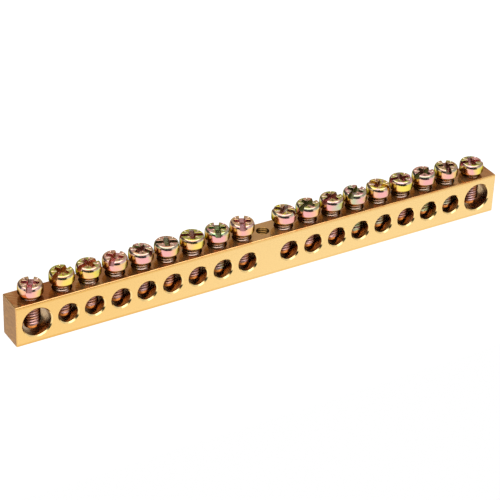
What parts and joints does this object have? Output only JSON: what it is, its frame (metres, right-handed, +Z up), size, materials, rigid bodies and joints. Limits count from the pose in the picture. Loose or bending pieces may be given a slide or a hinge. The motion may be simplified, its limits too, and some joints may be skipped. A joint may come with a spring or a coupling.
{
  "type": "earth terminal bar",
  "caption": "Drilled brass earth bar: a row of cross holes for wires, a clamping screw standing over each hole and one tapped fixing hole in the middle.",
  "frame": {"origin": "middle of the bar's underside, on the axis of the fixing hole", "axes": "+X along the bar, +Y to the back, +Z up through the screws"},
  "size_m": [0.15, 0.008, 0.0171],
  "materials": {
    "brass": "drawn and sawn brass, satin front, darker rubbed top",
    "zinc_plated_steel": "bright zinc plating with yellow iridescent passivation"
  },
  "bodies": {
    "bar": {"terminal_bar": "brass"},
    "end_screw_left": {"end_screw_left": "zinc_plated_steel"},
    "screw_01": {"screw_01": "zinc_plated_steel"},
    "screw_02": {"screw_02": "zinc_plated_steel"},
    "screw_03": {"screw_03": "zinc_plated_steel"},
    "screw_04": {"screw_04": "zinc_plated_steel"},
    "screw_05": {"screw_05": "zinc_plated_steel"},
    "screw_06": {"screw_06": "zinc_plated_steel"},
    "screw_07": {"screw_07": "zinc_plated_steel"},
    "screw_08": {"screw_08": "zinc_plated_steel"},
    "screw_09": {"screw_09": "zinc_plated_steel"},
    "screw_10": {"screw_10": "zinc_plated_steel"},
    "screw_11": {"screw_11": "zinc_plated_steel"},
    "screw_12": {"screw_12": "zinc_plated_steel"},
    "screw_13": {"screw_13": "zinc_plated_steel"},
    "screw_14": {"screw_14": "zinc_plated_steel"},
    "screw_15": {"screw_15": "zinc_plated_steel"},
    "screw_16": {"screw_16": "zinc_plated_steel"},
    "end_screw_right": {"end_screw_right": "zinc_plated_steel"}
  },
  "joints": [
    {"name": "end_screw_left_travel", "type": "slide", "parent": "bar", "child": "end_screw_left", "axis": [0, 0, 1], "range_m": [-0.0003, 0.0067]},
    {"name": "screw_01_travel", "type": "slide", "parent": "bar", "child": "screw_01", "axis": [0, 0, 1], "range_m": [0, 0.0046]},
    {"name": "screw_02_travel", "type": "slide", "parent": "bar", "child": "screw_02", "axis": [0, 0, 1], "range_m": [0, 0.0046]},
    {"name": "screw_03_travel", "type": "slide", "parent": "bar", "child": "screw_03", "axis": [0, 0, 1], "range_m": [0, 0.0046]},
    {"name": "screw_04_travel", "type": "slide", "parent": "bar", "child": "screw_04", "axis": [0, 0, 1], "range_m": [0, 0.0046]},
    {"name": "screw_05_travel", "type": "slide", "parent": "bar", "child": "screw_05", "axis": [0, 0, 1], "range_m": [0, 0.0046]},
    {"name": "screw_06_travel", "type": "slide", "parent": "bar", "child": "screw_06", "axis": [0, 0, 1], "range_m": [0, 0.0046]},
    {"name": "screw_07_travel", "type": "slide", "parent": "bar", "child": "screw_07", "axis": [0, 0, 1], "range_m": [0, 0.0046]},
    {"name": "screw_08_travel", "type": "slide", "parent": "bar", "child": "screw_08", "axis": [0, 0, 1], "range_m": [0, 0.0046]},
    {"name": "screw_09_travel", "type": "slide", "parent": "bar", "child": "screw_09", "axis": [0, 0, 1], "range_m": [0, 0.0046]},
    {"name": "screw_10_travel", "type": "slide", "parent": "bar", "child": "screw_10", "axis": [0, 0, 1], "range_m": [0, 0.0046]},
    {"name": "screw_11_travel", "type": "slide", "parent": "bar", "child": "screw_11", "axis": [0, 0, 1], "range_m": [0, 0.0046]},
    {"name": "screw_12_travel", "type": "slide", "parent": "bar", "child": "screw_12", "axis": [0, 0, 1], "range_m": [0, 0.0046]},
    {"name": "screw_13_travel", "type": "slide", "parent": "bar", "child": "screw_13", "axis": [0, 0, 1], "range_m": [0, 0.0046]},
    {"name": "screw_14_travel", "type": "slide", "parent": "bar", "child": "screw_14", "axis": [0, 0, 1], "range_m": [0, 0.0046]},
    {"name": "screw_15_travel", "type": "slide", "parent": "bar", "child": "screw_15", "axis": [0, 0, 1], "range_m": [0, 0.0046]},
    {"name": "screw_16_travel", "type": "slide", "parent": "bar", "child": "screw_16", "axis": [0, 0, 1], "range_m": [0, 0.0046]},
    {"name": "end_screw_right_travel", "type": "slide", "parent": "bar", "child": "end_screw_right", "axis": [0, 0, 1], "range_m": [-0.0003, 0.0067]}
  ]
}
